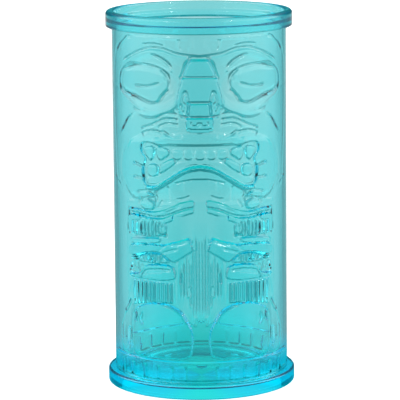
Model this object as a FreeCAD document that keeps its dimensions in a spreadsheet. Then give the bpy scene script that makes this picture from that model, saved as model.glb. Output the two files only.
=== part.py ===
import FreeCAD, Part
import os
import math
import Sketcher

# Tiki tumbler: one clear moulding, built here as its four regions: a lip band, the carved
# cylindrical wall, the floor and the foot ring. They meet face to face.
# +Z up, origin at the centre of the foot, the face looks along -Y, its twin along +Y.

doc = FreeCAD.newDocument("tiki_tumbler")

# ---------------------------------------------------------------- driving sizes (mm)
sheet = doc.addObject("Spreadsheet::Sheet", "dims")
SIZES = [
    ("total_height", 152.4, "foot to lip"),
    ("wall_inner_radius", 33.5, "straight bore of the cup"),
    ("wall_outer_radius", 35.2, "plain wall between the carving"),
    ("rim_outer_radius", 37.7, "lip band"),
    ("rim_height", 6.5, "lip band"),
    ("rim_round_out", 1.5, "outer top edge of the lip"),
    ("rim_round_in", 0.8, "inner top edge of the lip"),
    ("rim_round_low", 0.6, "under edge of the lip band"),
    ("foot_outer_radius", 38.2, "foot ring"),
    ("foot_height", 5.9, "foot ring"),
    ("foot_round_top", 0.9, "upper edge of the foot"),
    ("foot_round_low", 0.9, "lower edge of the foot"),
    ("floor_top", 5.4, "inside floor level"),
    ("floor_under", 3.8, "underside of the floor, recessed above the table"),
    ("floor_ledge", 0.5, "narrow step between the bore and the floor"),
    ("gate_radius", 2.2, "moulding gate pip under the floor"),
    ("gate_height", 0.6, "moulding gate pip"),
    ("relief_root", 0.8, "how deep a carved boss is rooted in the wall"),
    ("relief_faint", 0.45, "hair, skirt pleats, hips"),
    ("relief_low", 0.8, "muzzle, waist, necklace, plinth"),
    ("relief_mid", 1.2, "brows, eyes, lips, arms"),
    ("relief_high", 1.5, "feet and nose bridge"),
    ("relief_top", 2.1, "tip of the nose"),
    ("groove_eye", 0.75, "level of the eye slit floor above the wall"),
    ("groove_block", 0.15, "level of the joints between plinth blocks"),
    ("draw_depth", 45.0, "length of the mould draw through the wall"),
]
for row, (alias, value, note) in enumerate(SIZES, start=1):
    sheet.set("A%d" % row, alias)
    sheet.set("B%d" % row, repr(value))
    sheet.set("C%d" % row, note)
    sheet.setAlias("B%d" % row, alias)
doc.recompute()
V = dict((alias, float(sheet.get(alias))) for alias, _, _ in SIZES)
RW = V["wall_outer_radius"]


def origin_plane(body, role):
    for feature in body.Origin.OriginFeatures:
        if feature.Role == role:
            return feature
    raise RuntimeError("no " + role)


def value_of(expression):
    names = dict(V)
    total, sign = 0.0, 1.0
    for word in expression.replace("+", " + ").replace("-", " - ").split():
        if word == "+":
            sign = 1.0
        elif word == "-":
            sign = -1.0
        else:
            total += sign * (names[word] if word in names else float(word))
            sign = 1.0
    return total


def bound(expression):
    words = expression.replace("+", " + ").replace("-", " - ").split()
    return " ".join("dims." + w if w in V else w for w in words)


def turned_body(label, corners):
    """A body of revolution: each corner of the half section is (radius, height), as sheet sums."""
    body = doc.addObject("PartDesign::Body", label)
    body.Label = label
    sk = body.newObject("Sketcher::SketchObject", label + "_section")
    sk.AttachmentSupport = [(origin_plane(body, "XZ_Plane"), "")]
    sk.MapMode = "FlatFace"
    pts = [FreeCAD.Vector(value_of(r), value_of(z), 0) for r, z in corners]
    n = len(pts)
    for i in range(n):
        sk.addGeometry(Part.LineSegment(pts[i], pts[(i + 1) % n]), False)
    for i in range(n):
        sk.addConstraint(Sketcher.Constraint("Coincident", i, 2, (i + 1) % n, 1))
    for i, (r, z) in enumerate(corners):
        for axis, kind, text, own in ((-2, "DistanceX", r, pts[i].x), (-1, "DistanceY", z, pts[i].y)):
            if abs(own) < 1e-9:
                sk.addConstraint(Sketcher.Constraint("PointOnObject", i, 1, axis))
            else:
                c = sk.addConstraint(Sketcher.Constraint(kind, -1, 1, i, 1, own))
                sk.renameConstraint(c, "%s%d" % (kind[-1].lower(), i))
                sk.setExpression("Constraints[%d]" % c, bound(text))
    rev = body.newObject("PartDesign::Revolution", label + "_turn")
    rev.Profile = sk
    rev.ReferenceAxis = (sk, ["V_Axis"])
    rev.Angle = 360.0
    body.Tip = rev
    doc.recompute()
    return body, rev


def circle_edges(shape, radius, height):
    names = []
    for i, e in enumerate(shape.Edges, start=1):
        c = e.Curve
        if isinstance(c, Part.Circle) and abs(c.Radius - radius) < 1e-4 and abs(c.Center.z - height) < 1e-4:
            names.append("Edge%d" % i)
    return names


def round_edge(body, radius, height, cell, name):
    names = circle_edges(body.Tip.Shape, radius, height)
    if not names:
        raise RuntimeError("no edge for " + name)
    fil = body.newObject("PartDesign::Fillet", name)
    fil.Base = (body.Tip if body.Tip is not fil else fil.BaseFeature, names)
    fil.Radius = V[cell]
    fil.setExpression("Radius", "dims." + cell)
    body.Tip = fil
    doc.recompute()
    return fil


# ---------------------------------------------------------------- lip band
rim, rim_turn = turned_body("rim_band", [
    ("wall_inner_radius", "total_height - rim_height"),
    ("rim_outer_radius", "total_height - rim_height"),
    ("rim_outer_radius", "total_height"),
    ("wall_inner_radius", "total_height"),
])
H = V["total_height"]
round_edge(rim, V["rim_outer_radius"], H, "rim_round_out", "lip_outer_round")
round_edge(rim, V["wall_inner_radius"], H, "rim_round_in", "lip_inner_round")
round_edge(rim, V["rim_outer_radius"], H - V["rim_height"], "rim_round_low", "lip_under_round")

# ---------------------------------------------------------------- foot ring
foot, foot_turn = turned_body("foot_ring", [
    ("wall_inner_radius - floor_ledge", "0"),
    ("foot_outer_radius", "0"),
    ("foot_outer_radius", "foot_height"),
    ("wall_inner_radius", "foot_height"),
    ("wall_inner_radius", "floor_top"),
    ("wall_inner_radius - floor_ledge", "floor_top"),
])
round_edge(foot, V["foot_outer_radius"], V["foot_height"], "foot_round_top", "foot_upper_round")
round_edge(foot, V["foot_outer_radius"], 0.0, "foot_round_low", "foot_lower_round")

# ---------------------------------------------------------------- floor, with its gate pip below
floor, floor_turn = turned_body("floor_disc", [
    ("0", "floor_under - gate_height"),
    ("gate_radius", "floor_under - gate_height"),
    ("gate_radius", "floor_under"),
    ("wall_inner_radius - floor_ledge", "floor_under"),
    ("wall_inner_radius - floor_ledge", "floor_top"),
    ("0", "floor_top"),
])

# ---------------------------------------------------------------- plain wall under the carving
core, core_turn = turned_body("wall_core", [
    ("wall_inner_radius", "foot_height"),
    ("wall_outer_radius", "foot_height"),
    ("wall_outer_radius", "total_height - rim_height"),
    ("wall_inner_radius", "total_height - rim_height"),
])

# ---------------------------------------------------------------- carving outlines
# Every outline is (u, z): u the distance round the wall from the middle of the face, z the
# height. "half" outlines run down the right side of a shape that crosses the middle;
# "pair" outlines are closed shapes on the right with a twin on the left.
BROW = [(0, 137.3), (5, 137.8), (9.5, 138.5), (12, 139.5), (14.7, 140.3), (18.7, 140.6), (21.3, 140.4),
        (23.6, 139.7), (26.5, 138.7), (30, 137.2), (34, 135.4), (37, 134.4), (35.8, 133.0), (30.6, 134.6),
        (25, 135.4), (19.5, 135.3), (15, 134.1), (11.6, 132.2), (9.6, 130.4), (7.7, 130.6), (7.4, 132.2),
        (6.2, 134.8), (4.7, 136.6), (0, 136.6)]
NOSE_BRIDGE = [(0, 136.1), (4.2, 136.1), (5.8, 134), (6.9, 131.6), (7.1, 129.2), (0, 129.2)]
NOSE_TIP = [(0, 129.2), (7.1, 129.2), (7.8, 128.2), (6.9, 126.6), (6.6, 124.6), (7.3, 121.5),
            (7.9, 119), (8.3, 117.6), (7.4, 114.6), (6.9, 113.3), (0, 113.3)]
NOSE_BASE = [(0, 113.3), (6.9, 113.3), (5.4, 108), (4.6, 107.2), (0, 107.2)]
SOCKET = [(8.6, 127.5), (7.9, 124.9), (7.8, 123.4), (8.6, 121.2), (9.7, 118.6), (11.7, 116.4),
          (14.3, 114.7), (17.3, 113.8), (20.2, 113.2), (24, 113.7), (28, 115.6), (31, 117.2),
          (34, 118.6), (37, 120.2), (39.2, 122.3), (39.6, 126), (38.6, 130), (35.4, 132.4),
          (30.6, 133.6), (25, 134.3), (19.5, 134.2), (15.5, 133.2), (12, 131.4), (9.9, 129.6)]
EYE = [(13, 130.5), (15.2, 131.7), (17.3, 132.5), (19.5, 133), (22, 133.2), (25, 133), (30.6, 132),
       (35.4, 130.9), (37.6, 128.6), (38.1, 125.5), (35.8, 122.3), (33.2, 121.4), (28.7, 120.6),
       (24, 119.4), (20, 118.4), (16.5, 119), (14.5, 122), (12.6, 124), (11.8, 127.4)]
EYE_SLIT = [(15.8, 126.9), (18.7, 125.9), (21, 125.2), (23.2, 125), (27, 125.1), (28.2, 125.6),
            (28.2, 125), (27, 124.5), (23.2, 124.4), (21, 124.6), (18.7, 125.3), (15.8, 126.3)]
FLARE_A = [(9.6, 114.8), (13.5, 115.2), (16.6, 114.1), (16.5, 112.9), (13.4, 113.8), (9.9, 113.6)]
FLARE_B = [(9.2, 112), (13, 112.3), (17.2, 111.4), (19.2, 110.2), (18.4, 109.4), (16.6, 110.4),
           (13, 111.1), (9, 110.8)]
FLARE_C = [(15.8, 107.5), (18.9, 108.1), (22, 107.8), (24.2, 107), (24.1, 105.9), (21.8, 106.7),
           (18.9, 106.9), (16, 106.4)]
MUZZLE = [(0, 105.6), (8, 105.2), (14, 104.6), (20, 105.2), (26, 104.6), (30.5, 102.4), (33.2, 99.2),
          (35.2, 96), (36.1, 92), (35.7, 88), (34.2, 84), (31.6, 81.2), (28.4, 79.5), (24, 80.6),
          (20, 82), (16, 82.4), (12, 82.4), (6, 83.2), (0, 83.1)]
MOUTH = [(0, 101.2), (10, 101.1), (12.4, 100.9), (15.8, 101.5), (20, 103), (23.5, 103), (24.6, 101.9),
         (25, 100.4), (24.6, 98.6), (23.1, 97.1), (22.2, 95.8), (23.2, 94), (24, 92.6), (24, 90),
         (23.4, 87), (21.8, 85.6), (20, 85.4), (17.5, 85.8), (14, 88), (10, 90.5), (7, 92.5),
         (4, 93.8), (0, 94.3)]
LOWER_LIP = [(0, 93.5), (4, 93), (7, 91.7), (10, 89.7), (14, 87.2), (17.5, 85), (20, 84.4),
             (16.5, 84.5), (12.5, 86), (9, 87.3), (5, 88.2), (0, 88.6)]
GUM = [(8, 94.6), (11, 93), (15, 90.2), (17, 89), (21, 88.4), (22, 87), (20, 86.2), (17.5, 86.6),
       (14, 88.8), (10, 91.3), (8, 92.6)]
TOOTH_A = [(10, 96.7), (12.4, 96.2), (14.3, 94.8), (15.8, 94), (16.2, 93), (16.3, 90.9),
           (13.9, 92.1), (11.5, 93.8), (9.6, 95.2)]
TOOTH_B = [(17.2, 94.3), (20.2, 94.3), (21.7, 93), (21.7, 90.4), (20.5, 89.4), (17.7, 89.6),
           (16.9, 91.2)]
FANG_A = [(12.4, 100.4), (17.5, 101), (17.7, 98.4), (16, 95.6), (13.6, 97.3), (12.2, 98.4)]
FANG_B = [(18.4, 101.2), (22, 100.4), (23.8, 99), (22, 97.2), (20.5, 95.5), (18.5, 97.6)]
FRONT_TOOTH = [(0, 100.3), (2.1, 100.3), (2.1, 96), (0, 96)]
TOOTH_C = [(2.7, 100.3), (6.3, 100.3), (6.3, 96), (2.7, 96)]
TOOTH_D = [(6.9, 100.2), (11.5, 100), (11.2, 97), (9.2, 96), (6.9, 96)]
FIST = [(19.2, 80.6), (22, 80), (25.6, 79.4), (26.2, 78.3), (25, 77.2), (22, 76.6), (19.2, 77.2),
        (18.2, 79)]
STRAND_A = [(2.2, 80.2), (5, 79.9), (8, 79), (11, 77.7), (14, 76.4), (18, 75.4), (22, 75.6),
            (25, 76.4), (25, 74.6), (22, 73.8), (19, 73.4), (15.5, 73.9), (13.5, 74.4), (11, 75.6),
            (8, 76.9), (5, 77.8), (2.2, 78.1)]
STRAND_B = [(2.6, 77.3), (5, 76.8), (8, 75.8), (11, 74.5), (13.6, 73.2), (14, 71), (12, 71.8),
            (9, 73.2), (5, 75), (2.8, 75.5)]
LOCKS = [[(a, 66), (b, 66), (b + 0.3, 69), (b - 0.2, 72.4), (a + 0.4, 72.4), (a - 0.1, 69)]
         for a, b in ((14.5, 17.4), (18.3, 20.8), (21.6, 23.6), (25.2, 29.2), (30.4, 32.4))]
ARM = [(3.2, 60.8), (4.2, 64.6), (5.2, 65), (9, 63.3), (12, 62.9), (16.5, 62.5), (24, 62.2),
       (30.5, 61.6), (31.6, 58.6), (30.6, 56.7), (28, 57), (24, 58.2), (20, 59.2), (16, 59.2),
       (12, 56.4), (9.8, 55.6), (7.4, 57.5), (3.3, 60)]
CUFF = [(12.5, 55), (32.6, 55), (32.8, 57.6), (32, 57.8), (30.6, 55.9), (28, 56.1), (24, 57.3),
        (20, 58.3), (16.4, 58.3)]
WAIST = [(11, 53.4), (23, 53.2), (24.5, 50.5), (27, 48.6), (31, 48.3), (31, 47.6), (10.4, 47.6),
         (10.4, 51.5)]
PLEATS = []
for k in range(11):
    x = 11.0 + 1.6 * k
    lowest = 38.9 if x < 17.5 else 38.9 - 0.25 * (x - 17.5)
    PLEATS.append([(x, 47.0), (x + 0.85, 47.0), (x + 0.85, lowest), (x, lowest)])
LOIN = [(0, 66), (2.6, 66), (2.8, 60.2), (6.5, 56.9), (9.1, 54.7), (9.4, 53), (9.4, 39.2), (0, 39.2)]
FOOT = [(5.5, 31.5), (6.3, 33.2), (7.4, 34.8), (8.7, 35.9), (10.5, 37), (13, 37.9), (17, 38.3),
        (20, 38), (23, 37.3), (26, 36.2), (29, 35.2), (30.5, 33.6), (30.7, 30), (30.9, 15.5),
        (20, 16), (4.7, 16.1), (3.7, 20), (3.4, 24.5), (3.8, 28), (4.7, 30.2)]
HIP = [(31.4, 46.4), (33, 40), (35, 35), (37.5, 29), (39.5, 25.6), (39, 19), (31.6, 15.6),
       (31.6, 34), (30.6, 36.4)]
JOINTS = [(0.35, 0.35), (6.2, 0.35), (11.7, 0.35), (17.1, 0.45), (22.4, 0.55), (26.9, 0.6)]

FAINT_PAIR = [SOCKET, FLARE_A, FLARE_B, FLARE_C, GUM, CUFF, HIP, FIST] + LOCKS
LOW_PAIR = [STRAND_A, STRAND_B, TOOTH_A, TOOTH_B, FANG_A, FANG_B, TOOTH_C, TOOTH_D, WAIST]
FAINT_HALF = [LOIN]
LOW_HALF = [NOSE_BASE, FRONT_TOOTH, BROW]
MID_HALF = [LOWER_LIP]
MID_PAIR = [EYE, ARM]
HIGH_PAIR = [FOOT]
HIGH_HALF = [NOSE_BRIDGE]
TOP_HALF = [NOSE_TIP]


def flat(points, straight=False):
    """(u, z) round the wall to (x, z) on the flat the mould is cut from."""
    if straight:
        return [(x, z) for x, z in points]
    return [(RW * math.sin(u / RW), z) for u, z in points]


def whole(points):
    right = flat(points)
    return right + [(-x, z) for x, z in reversed(right) if x > 1e-6]


def twins(points, straight=False):
    right = flat(points, straight)
    return [right, [(-x, z) for x, z in reversed(right)]]


def outline_sketch(name, loops):
    sk = doc.addObject("Sketcher::SketchObject", name)
    sk.Placement = FreeCAD.Placement(FreeCAD.Vector(0, 0, 0), FreeCAD.Rotation(FreeCAD.Vector(1, 0, 0), 90))
    at = 0
    for loop in loops:
        n = len(loop)
        lines = []
        for i in range(n):
            a, b = loop[i], loop[(i + 1) % n]
            lines.append(Part.LineSegment(FreeCAD.Vector(a[0], a[1], 0), FreeCAD.Vector(b[0], b[1], 0)))
        sk.addGeometry(lines, False)
        sk.addConstraint([Sketcher.Constraint("Coincident", at + i, 2, at + (i + 1) % n, 1) for i in range(n)])
        at += n
    return sk


def shell_ring(name, inner, outer):
    """A ring between two radii, given as sheet sums, over the height of the carved wall."""
    cyls = []
    for tag, radius in (("out", outer), ("in", inner)):
        c = doc.addObject("Part::Cylinder", "%s_%s" % (name, tag))
        c.setExpression("Radius", bound(radius))
        c.setExpression("Height", "dims.total_height - dims.rim_height - dims.foot_height")
        c.setExpression("Placement.Base.z", "dims.foot_height")
        cyls.append(c)
    cut = doc.addObject("Part::Cut", name)
    cut.Base, cut.Tool = cyls
    return cut


def carved(name, loops, inner, outer):
    """Outlines drawn through the front wall along the mould's draw, kept between two radii."""
    sk = outline_sketch(name + "_outline", loops)
    ext = doc.addObject("Part::Extrusion", name + "_draw")
    ext.Base = sk
    ext.DirMode = "Custom"
    ext.Dir = FreeCAD.Vector(0, -1, 0)
    ext.Solid = True
    ext.FaceMakerClass = "Part::FaceMakerBullseye"
    ext.setExpression("LengthFwd", "dims.draw_depth")
    ring = shell_ring(name + "_ring", inner, outer)
    com = doc.addObject("Part::MultiCommon", name)
    com.Shapes = [ext, ring]
    return com


ROOT = "wall_outer_radius - relief_root"
front = [
    carved("carving_faint", [whole(p) for p in FAINT_HALF] + sum([twins(p) for p in FAINT_PAIR], [])
           + sum([twins(p, True) for p in PLEATS], []), ROOT, "wall_outer_radius + relief_faint"),
    carved("carving_muzzle", [whole(MUZZLE), whole(MOUTH)], ROOT, "wall_outer_radius + relief_low"),
    carved("carving_low", [whole(p) for p in LOW_HALF] + sum([twins(p) for p in LOW_PAIR], []),
           ROOT, "wall_outer_radius + relief_low"),
    carved("carving_mid", [whole(p) for p in MID_HALF] + sum([twins(p) for p in MID_PAIR], []),
           ROOT, "wall_outer_radius + relief_mid"),
    carved("carving_high", [whole(p) for p in HIGH_HALF] + sum([twins(p) for p in HIGH_PAIR], []),
           ROOT, "wall_outer_radius + relief_high"),
    carved("carving_top", [whole(p) for p in TOP_HALF], ROOT, "wall_outer_radius + relief_top"),
]
block_loops = []
for u, half_width in JOINTS:
    x = RW * math.sin(u / RW)
    right = [(x - half_width / 2, 7.2), (x + half_width / 2, 7.2), (x + half_width / 2, 12.6), (x - half_width / 2, 12.6)]
    block_loops += [right, [(-a, b) for a, b in reversed(right)]]
block_cut = carved("block_joints", block_loops, "wall_outer_radius + groove_block", "wall_outer_radius + relief_top + 1")
slit_cut = carved("eye_slits", twins(EYE_SLIT), "wall_outer_radius + groove_eye", "wall_outer_radius + relief_top + 1")

# the block course just above the foot goes right round the cup
plinth_out = doc.addObject("Part::Cylinder", "plinth_out")
plinth_out.setExpression("Radius", "dims.wall_outer_radius + dims.relief_faint")
plinth_out.Height = 7.4
plinth_out.Placement.Base = FreeCAD.Vector(0, 0, 7.0)
plinth_in = doc.addObject("Part::Cylinder", "plinth_in")
plinth_in.setExpression("Radius", "dims.wall_outer_radius - dims.relief_root")
plinth_in.Height = 7.4
plinth_in.Placement.Base = FreeCAD.Vector(0, 0, 7.0)
plinth = doc.addObject("Part::Cut", "plinth_course")
plinth.Base, plinth.Tool = plinth_out, plinth_in
doc.recompute()


def twin_of(obj):
    m = doc.addObject("Part::Mirroring", obj.Name + "_back")
    m.Source = obj
    m.Base = FreeCAD.Vector(0, 0, 0)
    m.Normal = FreeCAD.Vector(0, 1, 0)
    return m


face = doc.addObject("Part::MultiFuse", "carving_front")
face.Shapes = front
face.Refine = False
grooves = doc.addObject("Part::MultiFuse", "grooves_front")
grooves.Shapes = [block_cut, slit_cut]
doc.recompute()
joints_back = twin_of(block_cut)
solid_wall = doc.addObject("Part::MultiFuse", "wall_with_carving")
solid_wall.Shapes = [core, plinth, face]
solid_wall.Refine = False
both_grooves = doc.addObject("Part::MultiFuse", "grooves_all")
both_grooves.Shapes = [grooves, joints_back]
wall = doc.addObject("Part::Cut", "carved_wall")
wall.Base, wall.Tool = solid_wall, both_grooves
wall.Label = "carved_wall"
doc.recompute()

# ---------------------------------------------------------------- checks and files
for obj in doc.Objects:
    if "Invalid" in obj.State or "Error" in obj.State:
        raise RuntimeError("%s is %s" % (obj.Name, obj.State))

PARTS = [rim, wall, floor, foot]
NAMES = ["rim_band", "carved_wall", "floor_disc", "foot_ring"]
os.makedirs("parts", exist_ok=True)
for obj, name in zip(PARTS, NAMES):
    shape = obj.Shape
    if shape.isNull() or not shape.isValid():
        raise RuntimeError(name + " is not a valid shape")
    if len(shape.Solids) != 1:
        raise RuntimeError("%s has %d solids" % (name, len(shape.Solids)))
    b = shape.BoundBox
    print("%-12s solids %d faces %4d volume %.1f  box %.2f %.2f %.2f  %.2f %.2f %.2f" % (
        name, len(shape.Solids), len(shape.Faces), shape.Volume, b.XMin, b.YMin, b.ZMin, b.XMax, b.YMax, b.ZMax))
for obj, name in zip(PARTS, NAMES):
    obj.Shape.exportStep("parts/%s.step" % name)
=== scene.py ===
import bpy
import math
import numpy as np
from mathutils import Matrix, Vector


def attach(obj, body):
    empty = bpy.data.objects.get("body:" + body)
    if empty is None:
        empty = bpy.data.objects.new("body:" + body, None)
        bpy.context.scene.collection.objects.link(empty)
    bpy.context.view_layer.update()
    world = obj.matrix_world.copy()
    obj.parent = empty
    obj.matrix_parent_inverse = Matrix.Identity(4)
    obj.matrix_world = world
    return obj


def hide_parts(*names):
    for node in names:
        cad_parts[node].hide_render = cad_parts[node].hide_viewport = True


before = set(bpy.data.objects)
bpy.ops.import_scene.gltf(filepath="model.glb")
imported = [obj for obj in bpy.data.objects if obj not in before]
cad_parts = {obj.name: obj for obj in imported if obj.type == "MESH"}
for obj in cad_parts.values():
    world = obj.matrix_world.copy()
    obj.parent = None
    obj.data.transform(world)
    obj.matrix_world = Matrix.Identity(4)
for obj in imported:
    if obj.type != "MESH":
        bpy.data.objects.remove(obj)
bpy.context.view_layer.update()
MM = 0.001

# ---------------------------------------------------------------------------- carving
# The carving is drawn as a height map over (u, z): u is the distance round the wall from the
# middle of the face, z the height, both in mm. It is the same left and right.
RW = 35.2          # plain wall radius
RI = 33.5          # bore radius
U_END = 55.292     # a quarter of the way round
Z_LOW, Z_TOP = 5.9, 145.9


def corner_cut(pts, times, closed):
    p = np.array(pts, float)
    for _ in range(times):
        a = p if closed else p[:-1]
        b = np.roll(p, -1, 0) if closed else p[1:]
        q = np.empty((2 * len(a), 2))
        q[0::2] = 0.75 * a + 0.25 * b
        q[1::2] = 0.25 * a + 0.75 * b
        p = q if closed else np.vstack([p[:1], q, p[-1:]])
    return p


def seg_dist(p, closed, U, Z):
    a = p if closed else p[:-1]
    b = np.roll(p, -1, 0) if closed else p[1:]
    best = np.full(U.shape, 1e9)
    for (ax, az), (bx, bz) in zip(a, b):
        dx, dz = bx - ax, bz - az
        l2 = dx * dx + dz * dz
        if l2 < 1e-12:
            continue
        t = np.clip(((U - ax) * dx + (Z - az) * dz) / l2, 0.0, 1.0)
        d = (U - ax - t * dx) ** 2 + (Z - az - t * dz) ** 2
        np.minimum(best, d, out=best)
    return np.sqrt(best)


def inside(p, U, Z):
    odd = np.zeros(U.shape, bool)
    a, b = p, np.roll(p, -1, 0)
    for (ax, az), (bx, bz) in zip(a, b):
        if az == bz:
            continue
        hit = ((az > Z) != (bz > Z)) & (U < (bx - ax) * (Z - az) / (bz - az) + ax)
        odd ^= hit
    return odd


class Carving:
    def __init__(self, u, z):
        self.u, self.z = u, z
        self.U, self.Z = np.meshgrid(u, z)
        self.h = np.zeros(self.U.shape)

    def window(self, p, margin):
        i0, i1 = np.searchsorted(self.z, [p[:, 1].min() - margin, p[:, 1].max() + margin])
        j0, j1 = np.searchsorted(self.u, [p[:, 0].min() - margin, p[:, 0].max() + margin])
        return slice(i0, i1), slice(j0, j1)

    def loop(self, pts, smooth):
        pts = [tuple(q) for q in pts]
        if pts[0][0] == 0 and pts[-1][0] == 0:      # runs down one side of the middle line
            pts = pts + [(-a, b) for a, b in reversed(pts) if a > 0]
        return corner_cut(pts, smooth, True)

    def mask(self, pts, w, smooth=2):
        """1 inside, 0 outside, over a bevel of width w centred on the outline; and the depth inside."""
        w = 1.2 * w
        p = self.loop(pts, smooth)
        win = self.window(p, w + 0.2)
        U, Z = self.U[win], self.Z[win]
        d = seg_dist(p, True, U, Z)
        d = np.where(inside(p, U, Z), d, -d)
        t = np.clip(d / w + 0.5, 0.0, 1.0)
        return win, t * t * (3 - 2 * t), np.maximum(d, 0.0)

    def level(self, pts, height, w=0.8, crown=0.0, run=2.0, smooth=2, tilt=None):
        """Brings the inside of an outline to a height, rounded up by crown over the distance run."""
        win, m, d = self.mask(pts, w, smooth)
        target = height + crown * (1 - np.exp(-d / run))
        if tilt is not None:                          # (z where the height holds, change per mm upwards)
            target = target + (self.Z[win] - tilt[0]) * tilt[1]
        self.h[win] = self.h[win] * (1 - m) + target * m

    def raise_by(self, pts, height, w=0.8, crown=0.0, run=2.0, smooth=2):
        win, m, d = self.mask(pts, w, smooth)
        self.h[win] += m * (height + crown * (1 - np.exp(-d / run)))

    def line(self, pts, depth, w=0.45, smooth=2, taper=0.0):
        """A groove (or, with a negative depth, a ridge) along an open line; w is its half width."""
        w, depth = 1.25 * w, 1.15 * depth
        p = corner_cut(pts, smooth, False)
        win = self.window(p, 3.2 * w)
        U, Z = self.U[win], self.Z[win]
        d = seg_dist(p, False, U, Z)
        amount = depth * np.exp(-((d / w) ** 2))
        if taper > 0:                                 # both ends die out
            for end in (p[0], p[-1]):
                if end[0] > 0.01:
                    amount = amount * np.clip(np.hypot(U - end[0], Z - end[1]) / taper, 0, 1)
        self.h[win] -= amount

    def step(self, pts, height, w=0.6, run=6.0, smooth=2, side=1, ends=1.5):
        """Raises the ground on one side of an open line (side 1: below a line drawn outwards from the
        middle), full height at the line and dying away over the distance run."""
        w = 1.35 * w
        p = corner_cut(pts, smooth, False)
        win = self.window(p, 3.0 * run)
        U, Z = self.U[win], self.Z[win]
        d = seg_dist(p, False, U, Z)
        zl = np.interp(U, p[:, 0], p[:, 1])
        s = np.where((zl - Z) * side > 0, d, -d)
        t = np.clip(s / w + 0.5, 0.0, 1.0)
        amount = height * t * t * (3 - 2 * t) * np.exp(-(np.maximum(s, 0) / run) ** 2)
        lo, hi = p[:, 0].min(), p[:, 0].max()
        if lo > 0.01:
            amount = amount * np.clip((U - lo) / ends, 0, 1)
        amount = amount * np.clip((hi - U) / ends, 0, 1)
        self.h[win] += amount

    def bump(self, u, z, ru, rz, height, power=2.0):
        q = ((self.U - u) / ru) ** 2 + ((self.Z - z) / rz) ** 2
        self.h += height * np.exp(-(q ** (power / 2)) * 1.4)


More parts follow.
